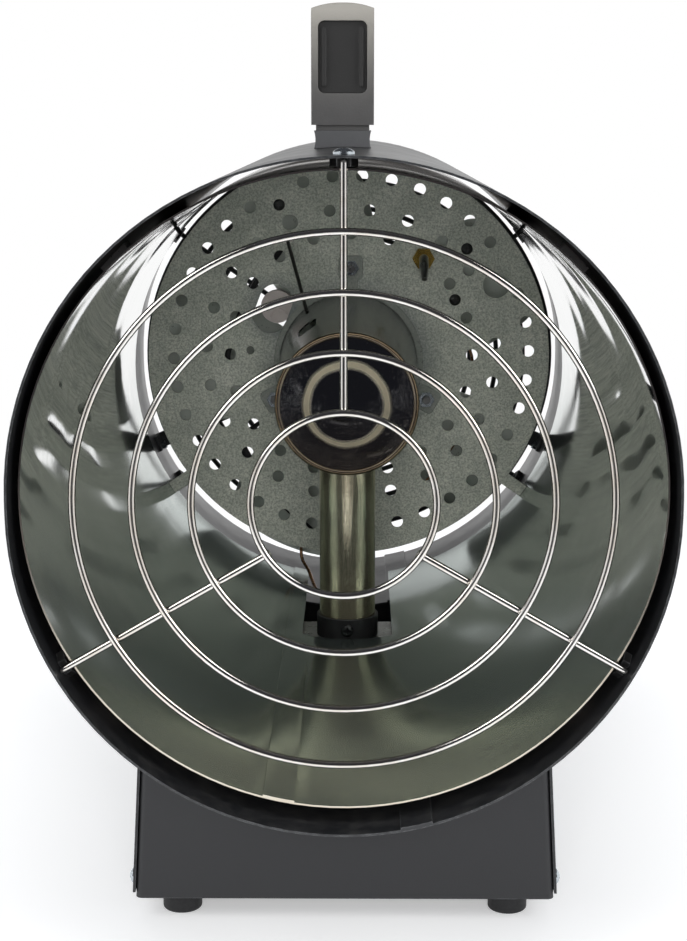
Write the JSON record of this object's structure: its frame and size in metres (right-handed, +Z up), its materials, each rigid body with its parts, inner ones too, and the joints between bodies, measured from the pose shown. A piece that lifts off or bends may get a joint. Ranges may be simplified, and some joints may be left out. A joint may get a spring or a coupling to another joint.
{
  "type": "gas forced air heater",
  "caption": "Round gas fan heater: black steel tube with polished inner barrel, wire grille, burner, fan, top handle and low folded base on rubber feet.",
  "frame": {"origin": "on the floor under the middle of the heater, at the centre of its box", "axes": "+Z up, +Y from the warm air outlet to the fan end, +X to the right as seen from the outlet"},
  "size_m": [0.22, 0.4136, 0.3337],
  "materials": {
    "black_paint": "semi-gloss",
    "charcoal_paint": "satin",
    "polished_steel": "polished, lightly stained",
    "raw_steel": "plain",
    "dark_steel": "laminated, lacquered",
    "chrome_wire": "bright plated",
    "black_steel": "black oxide",
    "zinc_screw": "bright zinc",
    "dark_screw": "heat darkened",
    "galvanised": "galvanised, mottled",
    "heat_steel": "heat tinted",
    "straw_steel": "heat tinted straw",
    "white_ceramic": "unglazed",
    "brass": "turned",
    "copper": "drawn copper",
    "black_lead": "flexible sleeve",
    "black_rubber": "matte",
    "fan_aluminium": "stamped",
    "black_wire": "powder coated wire",
    "grey_plastic": "fine grain",
    "black_plastic": "fine grain",
    "red_plastic": "moulded",
    "cast_body": "die cast"
  },
  "bodies": {
    "heater_body": {"outer_shell": "black_paint", "inner_barrel": "polished_steel", "barrel_spacers": "raw_steel", "front_grille": "chrome_wire", "grille_nuts": "black_steel", "grille_screws": "zinc_screw", "flame_plate": "galvanised", "plate_screws": "dark_screw", "burner_tube": "heat_steel", "burner_flange": "galvanised", "burner_studs": "raw_steel", "burner_nuts": "zinc_screw", "burner_cup": "straw_steel", "riser_tube": "heat_steel", "riser_plate": "raw_steel", "riser_collar": "black_steel", "collar_screw": "dark_screw", "spark_insulator": "white_ceramic", "spark_rod": "raw_steel", "thermocouple_nut": "brass", "thermocouple_probe": "raw_steel", "thermocouple_lead": "copper", "ignition_lead": "black_lead", "overheat_switch": "white_ceramic", "motor_stator": "dark_steel", "motor_caps": "fan_aluminium", "motor_bracket": "charcoal_paint", "bracket_screws": "zinc_screw", "motor_lead": "black_lead", "lead_grommet": "black_rubber", "rear_guard": "black_wire", "guard_nuts": "black_steel", "guard_screws": "zinc_screw", "base_tray": "charcoal_paint", "side_cover_left": "charcoal_paint", "side_cover_right": "charcoal_paint", "cover_screws": "zinc_screw", "feet": "black_rubber", "foot_screws": "zinc_screw", "saddles": "charcoal_paint", "saddle_screws": "zinc_screw", "handle_grip": "grey_plastic", "handle_insets": "black_plastic", "handle_pedestals": "grey_plastic", "handle_screws": "raw_steel", "gas_valve": "cast_body", "gas_inlet": "brass", "gas_pipe": "copper", "gas_nozzle": "brass", "nozzle_bracket": "raw_steel", "igniter_body": "black_plastic", "switch_frame": "black_plastic", "cord_gland": "black_plastic", "gland_nut": "black_plastic"},
    "fan": {"fan_impeller": "fan_aluminium", "fan_nut": "zinc_screw", "motor_shaft": "raw_steel"},
    "gas_button": {"gas_button": "red_plastic"},
    "igniter_button": {"igniter_button": "black_plastic"},
    "switch_rocker": {"switch_rocker": "red_plastic"}
  },
  "joints": [
    {"name": "fan_spin", "type": "hinge", "parent": "heater_body", "child": "fan", "pos_m": [0, 0.14425, 0.1657], "axis": [0, 1, 0], "continuous": true},
    {"name": "gas_button_push", "type": "slide", "parent": "heater_body", "child": "gas_button", "axis": [0, -1, 0], "range_m": [0, 0.006], "stiffness_N_per_m": 800},
    {"name": "igniter_push", "type": "slide", "parent": "heater_body", "child": "igniter_button", "axis": [0, -1, 0], "range_m": [0, 0.007], "stiffness_N_per_m": 900},
    {"name": "rocker_tilt", "type": "hinge", "parent": "heater_body", "child": "switch_rocker", "pos_m": [0.038, 0.17645, 0.0352], "axis": [1, 0, 0], "range_deg": [-20, 0]}
  ]
}
